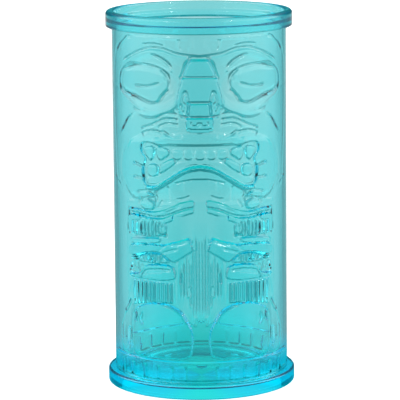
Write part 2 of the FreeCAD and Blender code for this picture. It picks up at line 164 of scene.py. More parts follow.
def carve(u, z):
    c = Carving(u, z)
    U, Z = c.U, c.Z

    # the head stands a little proud of the plain sides
    c.level([(0, 144.4), (30, 144.8), (38, 142.6), (43, 139), (46, 132), (47, 122), (46, 112), (44.5, 100),
             (43.5, 90), (42, 83.6), (38, 81.5), (30, 78.5), (0, 77)], 0.10, w=1.6)

    # brows: a gull-wing edge looking up, the ground below it swelling forward
    c.step([(0, 136.2), (5, 136.7), (9.5, 137.4), (12, 138.4), (14.7, 139.2), (18.7, 139.5), (21.3, 139.3),
            (23.6, 138.6), (26.5, 137.6), (30, 136.1), (34, 134.3), (37, 133.3)], 0.5, w=0.6, run=3.0, ends=6)
    c.line([(0, 137.1), (5, 137.6), (9.5, 138.3), (12, 139.3), (14.7, 140.1), (18.7, 140.4), (21.3, 140.2), (23.6, 139.5),
            (26.5, 138.5), (30, 137.0), (34, 135.2), (36, 134.5)], 0.42, 0.40, taper=3)
    c.step([(13.5, 141.4), (17, 142.2), (21, 142.3), (25, 141.6)], -0.3, w=0.8, run=2.4)
    c.line([(31, 144.1), (33.6, 143.8), (35.2, 142.4), (38.2, 140.6), (40.4, 138.4)], 0.3, 0.4)
    c.line([(8, 143.6), (8.6, 141.6), (7.4, 140.2)], 0.22, 0.35)
    c.line([(2.4, 143.8), (2.6, 141.2)], 0.16, 0.35)
    c.line([(5.0, 144.2), (12, 144.5), (20, 144.3)], -0.14, 0.5)
    c.line([(10.6, 131.9), (12.2, 134.0), (14.6, 135.9), (17.6, 137.2), (20.2, 137.6)], 0.55, 0.42, taper=2.5)
    c.bump(11.0, 131.6, 0.8, 0.6, 0.4)

    # eye: a ringed disc, a bulging lid, the slit between the lids
    c.level([(8.8, 127.5), (7.9, 124.9), (7.9, 123.2), (8.7, 121), (9.9, 119.0), (11.9, 117.2), (14.5, 115.8),
             (17.3, 115.0), (20.2, 114.5), (24, 114.8), (28, 116.2), (31, 117.8), (34, 119.2), (37, 120.6),
             (39.2, 122.2), (39.8, 126), (38.8, 130), (35.6, 132.6), (30.6, 134), (25, 134.7), (19.5, 134.6),
             (15.3, 133.4), (12, 131.4), (10.1, 129.6)], 0.35, w=0.8, crown=-0.7, run=1.8)
    c.level([(13, 130.5), (15.2, 131.7), (17.3, 132.5), (19.5, 133), (22, 133.3), (25, 133.2), (30.6, 132.2),
             (35.4, 130.8), (37.8, 128.4), (38.3, 125.3), (36.4, 122.9), (33.4, 121.7), (28.7, 121.1),
             (25, 119.8), (21, 118.4), (17, 118.5), (15.4, 121.2), (13.6, 122.9), (11.9, 124.6), (11.9, 127.6)],
            0.05, w=0.5, crown=0.45, run=3.0)
    c.line([(15.2, 131.7), (13.2, 130.2), (12.0, 127.6), (12.2, 125.2), (13.8, 122.7)], 0.5, 0.42)
    c.line([(13.8, 122.7), (15.6, 120.8), (17.2, 118.5), (20.6, 118.3), (24.6, 119.6), (28.5, 120.9), (33.2, 121.5),
            (35.6, 122.4)], 0.5, 0.42, taper=4)
    c.line([(15.2, 131.7), (19.5, 133), (25, 133.2), (30.6, 132.2), (35.2, 130.8)], 0.3, 0.42, taper=4)
    c.line([(15.8, 126.6), (18.7, 125.6), (21, 125), (23.2, 124.8), (26.5, 124.9), (28.4, 125.4)], 0.5, 0.45, taper=1.5)
    c.line([(28.4, 121.2), (32.6, 121.7), (35.8, 122.6), (38.6, 124.6)], 0.12, 0.4, taper=3)
    c.line([(11.5, 123.8), (13.9, 122.6), (15.6, 121), (16.6, 118.8)], 0.5, 0.5, taper=1.5)
    c.line([(38.4, 122.6), (42, 123.4), (46, 123.2), (50, 122.9)], 0.06, 0.7, taper=2)
    c.line([(23, 115.6), (26.4, 114.9), (28.6, 116)], 0.3, 0.4)
    c.bump(13.4, 128.4, 0.9, 0.8, -0.45)
    # the fold that runs from the nose round under the eye
    c.line([(6.6, 127.6), (7.3, 124.9), (7.3, 123.2), (8.0, 120.7), (9.4, 118.3), (11.5, 116.4), (14.3, 115.0),
            (17.3, 114.1), (20.4, 113.6), (24.4, 113.9), (28.4, 115.0)], -0.6, 0.8, taper=6)
    c.line([(28.6, 113.4), (30.4, 113.0), (32.4, 111.6), (34.1, 109.8), (35.4, 108.0), (37.4, 106.0), (38.6, 105.0)],
           0.42, 0.5, taper=3)

    # nose: bridge block, body with the wings beside it, the tip block, the block between the nostrils
    c.level([(0, 136.0), (3.4, 136.0), (4.3, 134.6), (5.5, 131.8), (6.5, 129.4), (0, 129.4)], 2.0, w=0.6, smooth=1)
    c.level([(0, 128.9), (7.1, 128.9), (6.8, 127.6), (8.0, 124.2), (8.7, 121), (8.7, 118.4), (8.1, 116), (7.2, 113.3),
             (0, 113.3)], 1.45, w=0.55, crown=0.35, run=3.0, smooth=1, tilt=(121, -0.02))
    c.level([(0, 118.7), (3.6, 118.7), (4.0, 116.2), (3.9, 113.5), (0, 113.5)], 2.1, w=0.5, smooth=1, tilt=(118.7, 0.04))
    c.level([(0, 113.2), (4.6, 113.2), (5.3, 112.6), (5.2, 109.4), (4.4, 107.4), (0, 107.3)], 1.75, w=0.5, smooth=1,
            tilt=(113.2, -0.03))
    c.line([(4.4, 115.6), (4.1, 119.0), (4.4, 122.2), (5.3, 123.8), (6.2, 122.6), (6.8, 120.3), (7.1, 118.4)], 0.6, 0.42)
    c.line([(7.0, 118.4), (7, 116.6), (6.2, 115.2), (5.4, 116.4), (5.3, 118.2), (6.1, 119.2)], 0.45, 0.35)
    c.line([(0, 119.0), (3.8, 119.0)], 0.9, 0.45)
    c.line([(4.0, 118.8), (4.3, 116.2), (4.1, 113.8)], 0.6, 0.38)
    c.line([(0, 113.35), (2.4, 113.2), (5.4, 113.5), (7.0, 113.6)], 0.9, 0.42)
    c.line([(3.8, 136.4), (4.9, 134.4), (6.2, 131.4), (7.1, 129.2)], 0.9, 0.5)
    c.line([(0, 136.5), (3.8, 136.5)], 0.6, 0.45)
    c.line([(7.4, 129.0), (7.2, 127.6), (8.4, 124.2), (9.1, 121), (9.1, 118.4), (8.5, 116)], 0.45, 0.4)
    c.line([(0.7, 111.0), (1.1, 110.1), (2.2, 109.9), (3.1, 110.5), (3.2, 111.4)], 0.5, 0.32)
    c.line([(0, 111.2), (0, 109.8)], 0.3, 0.3)
    c.line([(0, 108.6), (2.8, 108.6), (4.2, 108.9)], 0.35, 0.28)
    # snarl folds beside the nose
    c.line([(9.4, 114.4), (12, 115), (15, 114.3), (17.2, 112.8)], 0.45, 0.42)
    c.line([(9.2, 112.3), (12.5, 112.7), (15.5, 112.0), (17.8, 110.8), (21, 109.3), (24.4, 108.4)], 0.55, 0.42)
    c.line([(9, 110.3), (12.5, 110.8), (15, 110.2), (16.6, 109.2)], 0.45, 0.4)
    c.line([(14.8, 107.4), (12.6, 106), (9.8, 105.2), (7.4, 105.6)], 0.5, 0.4)
    c.line([(15.8, 107.0), (18.7, 107.6), (22, 107.2), (24.2, 106.4)], 0.5, 0.42)
    c.line([(16.5, 105.1), (20.2, 105.8), (23.6, 105.4)], 0.25, 0.4)

    # muzzle, mouth, lips
    before = c.h.copy()
    c.level([(0, 107.2), (8, 106.9), (14, 106.2), (20, 106.4), (26, 105.4), (30.3, 103), (33.2, 99.2), (35.2, 95.4),
             (36.0, 92), (35.5, 88), (34, 84), (31.5, 81.2), (28.4, 79.4), (24, 80.2), (20, 81.4), (16, 81.8),
             (12, 82.3), (6, 83.2), (0, 83.2)], 0.85, w=1.9, crown=-0.1, run=4)
    melt = np.clip((Z - 101.6) / 5.4, 0, 1)                       # its top melts into the cheeks
    melt = melt * melt * (3 - 2 * melt)
    c.h = before * melt + c.h * (1 - melt)
    c.raise_by([(0, 106.8), (8, 106.6), (14, 105.8), (19, 104.6), (18, 102.4), (12.4, 101.6), (0, 101.6)], 0.55, w=1.6)
    soft = np.clip((Z - 100.4) / 5.8, 0, 1)                       # its lower edge rolls in softly over the teeth
    roll = np.where((Z > 98) & (Z < 106.4), np.clip((18 - U) / 5.0, 0, 1), 0)
    c.h *= 1 - roll * (1 - soft * soft * (3 - 2 * soft))
    c.level([(0, 101.1), (8, 101), (12.4, 100.9), (15.8, 101.5), (20, 103), (23.5, 103), (24.7, 102), (25, 100.4),
             (24.6, 98.6), (23.3, 97.2), (22.5, 95.8), (23.4, 94.2), (24, 92.6), (24.1, 90), (23.5, 87), (21.9, 85.3),
             (20, 85.2), (17.5, 85.6), (14, 87.8), (10, 90.4), (7, 92.3), (4, 93.6), (0, 94.1)], 0.1, w=0.7)
    # lower gum, its edge running beside the frown
    c.level([(0, 96.1), (5, 96), (8.4, 95.5), (11, 94), (14, 91.9), (16.6, 90), (18, 89.3), (21.2, 89.0), (22.3, 88),
             (22.2, 86.5), (20, 86.2), (17.6, 86.7), (14.3, 88.8), (10.2, 91.4), (7.1, 93.2), (4, 94.6), (0, 95)],
            0.38, w=0.5)
    # teeth
    for x0, x1 in ((-2.1, 2.1), (2.6, 6.4), (6.9, 11.2)):
        c.level([(x0, 100.3), (x1, 100.3), (x1 - 0.1, 97.2), ((x0 + x1) / 2, 96.3), (x0 + 0.1, 97.2)], 0.5, w=0.7,
                crown=0.2, run=1)
    c.level([(12.2, 100.5), (14.6, 101.2), (17.6, 101.4), (17.8, 98.6), (16.2, 95.6), (13.8, 97.4), (12, 98.6)], 0.75,
            w=0.5, crown=0.3, run=1.2)
    c.level([(18.4, 101.6), (22, 101.2), (24, 100), (23.2, 98.2), (21.6, 96.8), (20.3, 95.4), (18.5, 97.8)], 0.75,
            w=0.5, crown=0.3, run=1.2)
    c.level([(9.4, 95.3), (10.2, 96.9), (12.4, 96.4), (14.4, 95.1), (16, 94.2), (16.4, 92.6), (16.4, 90.5), (13.9, 91.9),
             (11.5, 93.6)], 0.85, w=0.55, crown=0.3, run=1.2)
    c.level([(17, 94.3), (20.4, 94.4), (21.9, 93.2), (21.8, 90.4), (20.6, 89.3), (17.7, 89.5), (16.9, 91.2)], 0.85,
            w=0.55, crown=0.3, run=1.2)
    # lower lip: crowned, hard against the frown, softer below
    top = np.interp(U, [0, 4, 7, 10, 14, 17.5, 20.6, 22.6], [94.0, 93.4, 92.1, 90.2, 87.6, 85.5, 84.9, 84.9])
    foot = np.interp(U, [0, 12, 17, 20, 22.6], [81.0, 80.6, 80.6, 82.0, 83.0])
    edge = np.clip((top - Z) / 1.1 + 0.5, 0, 1) * np.clip((22.6 - U) / 1.2, 0, 1) * (Z > foot)
    edge = edge * edge * (3 - 2 * edge)
    ramp = np.clip((Z - foot) / (top - foot), 0, 1)
    c.h = c.h * (1 - edge) + (0.1 + 1.25 * ramp ** 0.9) * edge
    c.line([(0, 93.6), (4, 93.0), (7, 91.7), (10, 89.8), (14, 87.2), (17.5, 85.1), (20.2, 84.6), (21.6, 84.9)], -0.7, 0.6)
    c.line([(0, 88.6), (2.6, 88.6)], 0.35, 0.3)
    c.line([(3.4, 88.5), (5, 88.2), (6.6, 87.9)], 0.35, 0.3)
    c.line([(7.4, 87.7), (9.4, 87.1)], 0.35, 0.3)
    # tile joints of the chin and the cheek corner
    c.line([(6.6, 87.6), (6.5, 84.6)], 0.22, 0.3)
    c.line([(12.6, 85.2), (12.4, 80.6)], 0.25, 0.35)
    c.line([(18.2, 83.6), (18.1, 79.6)], 0.35, 0.35)
    c.line([(18.2, 83.4), (20.6, 84.3), (23.4, 83.2), (26.4, 82.9)], 0.35, 0.4)
    c.line([(25.6, 82.4), (25.4, 79.2), (24.4, 76.9)], 0.22, 0.42, taper=1.5)
    c.line([(28.4, 94.1), (26.2, 93.6), (24, 93)], 0.45, 0.4)
    c.line([(28.4, 88.5), (26.4, 88.5), (23.7, 88.3)], 0.35, 0.38)
    c.line([(24, 93), (23.9, 90), (23.6, 87.4), (22.4, 85.6)], 0.3, 0.4)
    c.line([(32.4, 102.6), (35.2, 98.8), (36.8, 94.5), (37.2, 90), (36.2, 86.2), (34.0, 82.4)], -0.55, 1.2, taper=6)
    # bead by the jaw corner, ear ends
    c.level([(36.6, 87.6), (39.0, 88.0), (39.8, 86.4), (38.6, 84.6), (37.4, 82.8), (36.4, 84.6)], 0.28, w=1.2)
    c.line([(39, 84.8), (41.4, 85.4), (44, 86.6)], 0.12, 0.5)
    c.bump(26, 78.6, 1.0, 1.6, -0.2)
    c.bump(29.4, 80.6, 1.3, 0.9, -0.2)

    # fist under the jaw, necklace strands
    c.level([(19.4, 79.4), (22, 80.4), (25, 79.4), (25.6, 77.6), (24, 76.2), (21, 75.9), (18.8, 76.6), (18.4, 78.4)],
            0.75, w=0.8, crown=0.25, run=1.5)
    c.level([(2.2, 80.3), (5, 80.1), (8, 79.2), (11, 77.8), (14, 76.3), (18, 75.2), (22, 75.0), (25, 75.6), (32.2, 75.8),
             (32.6, 74.4), (28, 74.3), (25, 74.3), (22, 73.8), (19, 73.4), (15.5, 73.8), (13.5, 74.3), (11, 75.4),
             (8, 76.7), (5, 77.6), (2.2, 77.9)], 0.75, w=0.6, crown=0.25, run=0.9)
    c.level([(2.4, 77.3), (5, 76.8), (8, 75.8), (11, 74.5), (13.8, 73.1), (16, 72.6), (19.4, 72.8), (19.4, 72.2),
             (15, 71.2), (14, 70.9), (12, 71.7), (9, 73.1), (5, 74.9), (2.6, 75.4)], 0.65, w=0.55, crown=0.25, run=0.9)
    c.line([(8, 77.9), (11, 76.4), (13.4, 75.2)], 0.35, 0.4)
    c.line([(4.6, 81.8), (6.6, 80.9), (9, 80.6)], 0.25, 0.4)
    c.line([(15.6, 79.4), (16.8, 77.4)], 0.4, 0.42)
    # locks of hair falling behind the shoulders
    c.level([(13.6, 71.4), (16, 72), (24, 73), (32.4, 73.4), (33.2, 68), (32.6, 65.2), (13.6, 65.2)], 0.95, w=0.6)
    for x, dep, top, low in ((14.0, 0.35, 68.4, 65.4), (15.0, 0.4, 70.2, 66.2), (16.2, 0.45, 71.2, 65.8),
                             (17.6, 0.4, 70.8, 65.6), (19.2, 0.5, 71.2, 65.4), (20.8, 0.35, 70.6, 65.6),
                             (22.6, 0.4, 70.8, 65.6), (24.4, 0.45, 70.4, 66), (26.6, 0.35, 70.4, 66),
                             (29.0, 0.35, 70.6, 65.8), (32.2, 0.3, 75.6, 65.4)):
        c.line([(x, top), (x + 0.25, (top + low) / 2), (x - 0.15, low)], dep, 0.36)
    c.line([(13.8, 66.1), (16.4, 66.1)], 0.35, 0.4)
    c.line([(16, 65.1), (22, 65.0), (28, 64.8)], 0.2, 0.35)
    c.line([(24, 72.8), (27.6, 73.8)], 0.35, 0.4)
    c.line([(24.6, 71.9), (25.6, 71.0), (28, 70.6)], 0.3, 0.4)

    # loincloth with its fine threads, hanging between the feet
    c.level([(0, 72), (3.0, 72), (3.1, 60.4), (6.5, 58.2), (9.0, 57), (9.6, 53), (9.8, 46), (9.8, 37), (0, 37)], 0.4,
            w=0.7, smooth=1, tilt=(52, 0.008))
    part = (U < 11) & (Z < 74)
    fade = np.clip((Z - 37.5) / 8.0, 0, 1) * np.clip((71.5 - Z) / 7.0, 0, 1)
    c.h = np.where(part & (Z > 36), c.h * fade, c.h)
    threads = np.clip((9.2 - U) / 0.6, 0, 1) * np.clip((68.5 - Z) / 4.0, 0, 1) * np.clip((Z - 29) / 9.0, 0, 1)
    threads = threads * np.where(Z > 60, np.clip((3.2 - U) / 0.5, 0, 1), np.where(Z < 37, np.clip((4.2 - U) / 0.6, 0, 1), 1.0))
    for x, dep, wid, top, low_z in ((0.65, 0.28, 0.3, 66, 24), (1.75, 0.3, 0.3, 68, 26), (2.9, 0.34, 0.32, 62, 30),
                                    (4.1, 0.34, 0.34, 57, 36), (5.3, 0.3, 0.3, 60, 42), (6.6, 0.3, 0.32, 57, 40),
                                    (7.9, 0.3, 0.3, 55, 40)):
        run = np.clip((top - Z) / 2.5, 0, 1) * np.clip((Z - low_z) / 2.5, 0, 1)
        c.h -= threads * run * 1.5 * dep * np.exp(-(((U - x) / wid) ** 2))
    for x, z0, z1, s in ((7.6, 50.4, 47.4, 0.4), (4.7, 45.2, 41.8, 0.5), (2.2, 33, 30.2, 0.35)):
        c.line([(x, z0), (x + 0.3, z1)], s, 0.4)

    # arms: upper fold, forearm, open hand, cuff of feathers below
    c.level([(15.4, 64.6), (22, 64.3), (30.4, 63.6), (31.8, 62.6), (31.2, 61.4), (24, 62.2), (17, 62.7)], 0.55, w=0.6)
    c.level([(3.1, 60.6), (3.4, 62.8), (4.2, 64.8), (5.4, 65.2), (8.6, 63.7), (12, 63.1), (14.6, 61.8), (16.6, 62.3),
             (24, 61.9), (30.6, 61.2), (31.8, 58.7), (30.8, 56.5), (28, 56.9), (24, 58.2), (20, 59.3), (16, 59.3),
             (13, 57.2), (11.4, 55.6), (9.6, 55.8), (7.4, 57.5), (3.3, 60)], 1.45, w=0.65, crown=0.15, run=1.6)
    c.line([(5.6, 63.8), (8.6, 62.6), (11.4, 62.5)], 0.3, 0.4)
    c.line([(9.2, 60.8), (11.6, 60.2), (14.4, 59.2)], 0.35, 0.42)
    c.line([(12.8, 63.2), (14.8, 61.4), (16.2, 60.2)], 0.3, 0.4)
    c.level([(11.8, 55.0), (22, 54.7), (30.6, 55.0), (30.8, 55.9), (28, 56.3), (24, 57.4),
             (20, 58.6), (16.4, 58.6), (13.4, 56.8)], 0.95, w=0.6)
    rng = np.random.default_rng(7)
    for k in range(15):
        x = 14.6 + 1.15 * k + rng.uniform(-0.2, 0.2)
        top = 57.8 - max(0.0, (x - 20) * 0.2)
        c.line([(x, top), (x + rng.uniform(-0.5, 0.6), 55.3 + rng.uniform(0, 0.3))], rng.uniform(0.3, 0.65), 0.32)
    # waist
    c.level([(11.2, 54.0), (17, 54.1), (23.2, 53.4), (24.6, 50.8), (27, 49.4), (31.6, 49.0), (32.4, 47.7), (10.2, 47.7),
             (10.2, 51.4)], 0.85, w=0.6, crown=0.1, run=1.5)
    c.line([(12.4, 52.0), (16, 52.3), (20, 51.8), (23, 51.2), (24.2, 49.6), (24.8, 48.2)], 0.35, 0.4)
    c.line([(16, 51.2), (20.6, 50.8), (23.2, 49.8)], 0.22, 0.35)
    c.bump(30.6, 51.2, 1.3, 1.9, -0.5)
    c.bump(26.2, 52.4, 1.0, 1.2, -0.35)
    for k in range(22):
        a, b = 24 + rng.uniform(0, 8), 48.6 + rng.uniform(0, 5)
        c.bump(a, b, rng.uniform(0.4, 0.9), rng.uniform(0.4, 0.9), rng.uniform(-0.4, 0.3))

    # pleated skirt: the pleats are cut straight along the mould's draw
    X = RW * np.sin(U / RW)
    low = np.where(X < 18.5, 38.6, 38.6 - 0.28 * (X - 18.5))
    band = np.clip((X - 10.2) / 0.5, 0, 1) * np.clip((27.6 - X) / 0.5, 0, 1)
    band = band * np.clip((46.9 - Z) / 0.5, 0, 1) * np.clip((Z - low) / 0.5, 0, 1)
    amp = np.interp(X, [10, 14, 18, 22, 27], [0.5, 0.62, 0.66, 0.6, 0.4])
    wave = 0.5 + 0.5 * np.cos(2 * np.pi * (X - 10.9) / 1.62 + np.pi)
    c.h += band * (0.12 + amp * wave)

    # feet, legs
    c.level([(31, 47), (32.6, 42), (34, 37.8), (36.2, 33), (38.2, 28.6), (40.6, 25.4), (40, 19), (38, 16), (31.4, 15),
             (31.8, 28), (31, 35.6), (30, 37.4)], 0.28, w=1.4)
    c.level([(5.2, 31.0), (6.2, 33.2), (7.4, 34.9), (8.8, 36.1), (10.6, 37.1), (13, 38), (17, 38.4), (20, 38.1),
             (23, 37.4), (26, 36.2), (28.8, 35.0), (30.4, 33.2), (30.9, 29), (31, 15.6), (20, 16), (4.7, 16.1),
             (3.7, 20), (3.3, 24.5), (3.8, 28.4)], 1.1, w=0.5, crown=0.15, run=2.5)
    c.line([(5.6, 31.6), (7.0, 34.2), (9.2, 36.0), (12, 37.3), (14.6, 37.9)], 0.35, 0.45)
    c.line([(24.8, 33.4), (25.6, 31.4), (24.8, 29.8)], 0.4, 0.42)
    c.line([(28, 34.2), (27.2, 32.2), (28.2, 30.4)], 0.35, 0.42)
    c.line([(37.2, 28.2), (38.4, 25.4), (38.2, 22), (38.6, 18.8)], 0.14, 0.6, taper=2)
    c.line([(31.6, 26), (31.6, 20)], 0.3, 0.5)
    c.line([(33.6, 26), (33.8, 20)], 0.3, 0.5)
    c.line([(32.4, 37.6), (33.8, 35.6), (36, 33)], 0.4, 0.5)

    # all of the figure below the chin stands on a panel with a straight edge at each side
    win, m, d = c.mask([(0, 79.6), (24, 79.2), (33.2, 79.0), (34.3, 77.6), (34.4, 60), (34.2, 41), (33.4, 38.4),
                        (31.8, 37.6), (0, 37.6)], 0.5)
    c.h[win] += 0.38 * m * np.clip((80.5 - c.Z[win]) / 3.0, 0, 1) * np.clip((c.Z[win] - 36.5) / 4.0, 0, 1)

    block_course(c)

    # the carving dies out before the parting line and at both ends of the wall
    return finish(c)


def finish(c):
    side = np.clip((50.5 - c.U) / 6.0, 0, 1)
    c.h *= side * side * (3 - 2 * side)
    calm = np.clip((c.U - 30.0) / 10.0, 0, 1)
    c.h *= 1 - 0.35 * calm * calm * (3 - 2 * calm)
    c.h *= np.clip((Z_TOP - c.Z) / 0.7, 0, 1) * np.clip((c.Z - Z_LOW) / 0.7, 0, 1)
    return np.clip(c.h, -0.9, 2.4)


def block_course(c):
    """The course of blocks round the foot of the wall, front and back."""
    X = RW * np.sin(c.U / RW)
    course = np.clip((15.0 - c.Z) / 0.5, 0, 1) * np.clip((c.Z - 7.0) / 0.5, 0, 1)
    c.h = np.where(course > 0, np.maximum(c.h, 0.5 * course), c.h)
    for x, dep, wid in ((6.2, 0.3, 0.35), (11.7, 0.35, 0.4), (17.1, 0.42, 0.4), (22.4, 0.42, 0.5), (27.2, 0.4, 0.5),
                        (31.2, 0.35, 0.4)):
        run = np.clip((12.8 - c.Z) / 0.6, 0, 1) * np.clip((c.Z - 7.0) / 0.4, 0, 1)
        c.h -= run * dep * np.exp(-(((X - x) / wid) ** 2))


def carve_back(u, z):
    """The back of the tumbler is left plain but for the block course."""
    c = Carving(u, z)
    block_course(c)
    return finish(c)


# ---------------------------------------------------------------------------- meshes
GAP = 0.012        # hairline between the regions, so that each stays its own closed solid
PITCH = 0.3        # spacing of the carved surface's points


def make_mesh(name, co, faces, smooth):
    """co: n x 3 in mm, faces: m x 4 indices, smooth: m booleans."""
    me = bpy.data.meshes.new(name)
    me.vertices.add(len(co))
    me.vertices.foreach_set("co", (np.asarray(co, float) * MM).astype(np.float32).ravel())
    faces = np.asarray(faces, np.int32)
    me.loops.add(faces.size)
    me.loops.foreach_set("vertex_index", faces.ravel())
    me.polygons.add(len(faces))
    me.polygons.foreach_set("loop_start", np.arange(0, faces.size, 4, dtype=np.int32))
    me.polygons.foreach_set("loop_total", np.full(len(faces), 4, np.int32))
    me.polygons.foreach_set("use_smooth", np.asarray(smooth, bool))
    me.update(calc_edges=True)
    me.validate()
    ob = bpy.data.objects.new(name, me)
    bpy.context.scene.collection.objects.link(ob)
    return ob


def ring_faces(a, b, n):
    """Quads between ring a and ring b of n points each (first indices), a below or outside b."""
    i = np.arange(n)
    j = (i + 1) % n
    return np.stack([a + i, a + j, b + j, b + i], 1)


def lathe(name, profile, n=720, flat_runs=()):
    """Closed profile of (r, z), counter-clockwise in the r-z half plane, turned round Z."""
    p = np.array(profile, float)
    t = np.arange(n) * 2 * math.pi / n
    co = np.concatenate([np.stack([r * np.sin(t), -r * np.cos(t), np.full(n, z)], 1) for r, z in p])
    faces, smooth = [], []
    m = len(p)
    for k in range(m):
        faces.append(ring_faces(k * n, ((k + 1) % m) * n, n))
        smooth.append(np.full(n, k not in flat_runs))
    return make_mesh(name, co, np.concatenate(faces), np.concatenate(smooth))


def arc(cr, cz, rad, a0, a1, n):
    """Points of a round from angle a0 to a1 (degrees, 0 along +r, 90 up)."""
    return [(cr + rad * math.cos(math.radians(a)), cz + rad * math.sin(math.radians(a)))
            for a in np.linspace(a0, a1, n)]


def dense(points, step):
    """Adds points along the straight runs of a closed profile, close together near their ends."""
    out = []
    for i, a in enumerate(points):
        b = points[(i + 1) % len(points)]
        length = math.hypot(b[0] - a[0], b[1] - a[1])
        out.append(a)
        if length > 2.2 * step:
            k = max(2, int(length / step))
            marks = [0.12 / length, 0.4 / length] + [q / k for q in range(1, k)] + [1 - 0.4 / length, 1 - 0.12 / length]
            for q in sorted(set(marks)):
                if 0.02 < q * length < length - 0.02:
                    out.append((a[0] + q * (b[0] - a[0]), a[1] + q * (b[1] - a[1])))
    return out


# ---- carved wall
half = np.concatenate([np.arange(0.0, 51.0, PITCH), np.arange(51.0, U_END - 0.3, 0.9)])
z_rows = np.concatenate([[Z_LOW + GAP], np.arange(Z_LOW + 0.15, Z_TOP - 0.1, PITCH), [Z_TOP - GAP]])
quarter = np.concatenate([half, [U_END]])
no_end = np.zeros((len(z_rows), 1))
front = np.hstack([carve(half, z_rows), no_end])               # rows x columns of one quarter
back = np.hstack([carve_back(half, z_rows), no_end])
# round the wall: front right quarter, back right, back left, front left
th = np.concatenate([quarter[:-1] / RW,
                     math.pi - quarter[:0:-1] / RW,
                     math.pi + quarter[:-1] / RW,
                     2 * math.pi - quarter[:0:-1] / RW])
th[(th > 1.5706) & (th < 1.571)] = math.pi / 2
H = np.hstack([front[:, :-1], back[:, :0:-1], back[:, :-1], front[:, :0:-1]])
n_col, n_row = len(th), len(z_rows)
# the parting line of the two mould halves, a hair proud at each side
side = np.minimum(np.abs(th - math.pi / 2), np.abs(th - 3 * math.pi / 2)) * RW
H = H + 0.035 * np.exp(-(side / 0.25) ** 2)[None, :]
Rr = RW + H
co_out = np.stack([Rr * np.sin(th)[None, :], -Rr * np.cos(th)[None, :], np.repeat(z_rows[:, None], n_col, 1)], -1).reshape(-1, 3)
z_in = np.linspace(Z_LOW + GAP, Z_TOP - GAP, 15)
co_in = np.stack([np.repeat((RI * np.sin(th))[None, :], len(z_in), 0), np.repeat((-RI * np.cos(th))[None, :], len(z_in), 0),
                  np.repeat(z_in[:, None], n_col, 1)], -1).reshape(-1, 3)
faces, smooth = [], []
for k in range(n_row - 1):
    faces.append(ring_faces(k * n_col, (k + 1) * n_col, n_col))
smooth.append(np.ones((n_row - 1) * n_col, bool))
base = n_row * n_col
for k in range(len(z_in) - 1):
    faces.append(ring_faces(base + (k + 1) * n_col, base + k * n_col, n_col))
smooth.append(np.ones((len(z_in) - 1) * n_col, bool))
faces.append(ring_faces((n_row - 1) * n_col, base + (len(z_in) - 1) * n_col, n_col))      # top end
faces.append(ring_faces(base, 0, n_col))                                                  # bottom end
smooth.append(np.zeros(2 * n_col, bool))
wall = make_mesh("tumbler_wall", np.concatenate([co_out, co_in]), np.concatenate(faces), np.concatenate(smooth))
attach(wall, "root")
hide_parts("carved_wall")

# ---- lip band
H_ALL = 152.4
rim_profile = ([(RI, Z_TOP + GAP)]
               + arc(37.7 - 0.6, Z_TOP + GAP + 0.6, 0.6, -90, 0, 9)
               + arc(37.7 - 1.5, H_ALL - 1.5, 1.5, 0, 90, 15)
               + arc(RI + 1.0 + 0.8, H_ALL - 0.8, 0.8, 90, 180, 11)
               + [(RI + 1.0, 149.5), (RI + 0.92, 149.2), (RI + 0.7, 148.95), (RI + 0.3, 148.6), (RI + 0.08, 148.3),
                  (RI, 148.0)])
rim = lathe("tumbler_lip", dense(rim_profile, 0.9))
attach(rim, "root")
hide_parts("rim_band")

# ---- foot ring
foot_profile = ([(33.0, 0.0)]
                + arc(38.2 - 0.9, 0.9, 0.9, -90, 0, 13)
                + arc(38.2 - 0.9, 5.9 - 0.9 - GAP, 0.9, 0, 90, 13)
                + [(RI, 5.9 - GAP), (RI, 5.4), (33.0, 5.4)])
foot = lathe("tumbler_foot", dense(foot_profile, 0.9))
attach(foot, "root")
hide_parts("foot_ring")

# ---- floor
fr = 33.0 - GAP
floor_profile = [(0.0004, 3.2), (2.0, 3.2), (2.2, 3.35), (2.25, 3.8), (fr, 3.8), (fr, 5.4), (0.0004, 5.4)]
floor_piece = lathe("tumbler_floor", dense(floor_profile, 1.5))
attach(floor_piece, "root")
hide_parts("floor_disc")

for ob in (wall, rim, foot, floor_piece):
    me = ob.data
    me.set_sharp_from_angle(angle=math.radians(38))


# ---------------------------------------------------------------------------- plastic
class Nodes:
    """Small helper to write node sums in a line."""
    def __init__(self, tree):
        self.t = tree

    def new(self, kind, **values):
        n = self.t.nodes.new(kind)
        for k, v in values.items():
            setattr(n, k, v)
        return n

    def math(self, op, a, b=None, c=None, clamp=False):
        n = self.new("ShaderNodeMath", operation=op, use_clamp=clamp)
        for i, v in enumerate((a, b, c)):
            if v is None:
                continue
            if isinstance(v, (int, float)):
                n.inputs[i].default_value = v
            else:
                self.t.links.new(v, n.inputs[i])
        return n.outputs[0]

    def step(self, v, lo, hi, out_lo=0.0, out_hi=1.0):
        n = self.new("ShaderNodeMapRange", interpolation_type="SMOOTHSTEP")
        self.t.links.new(v, n.inputs["Value"])
        for k, x in (("From Min", lo), ("From Max", hi), ("To Min", out_lo), ("To Max", out_hi)):
            n.inputs[k].default_value = x
        return n.outputs[0]

    def curve(self, v, points):
        """Piecewise smooth curve through (x, y) points, x rising; y by smoothsteps."""
        total = None
        for (x0, y0), (x1, y1) in zip(points, points[1:]):
            part = self.step(v, x0, x1, 0.0, y1 - y0)
            total = part if total is None else self.math("ADD", total, part)
        return self.math("ADD", total, points[0][1])


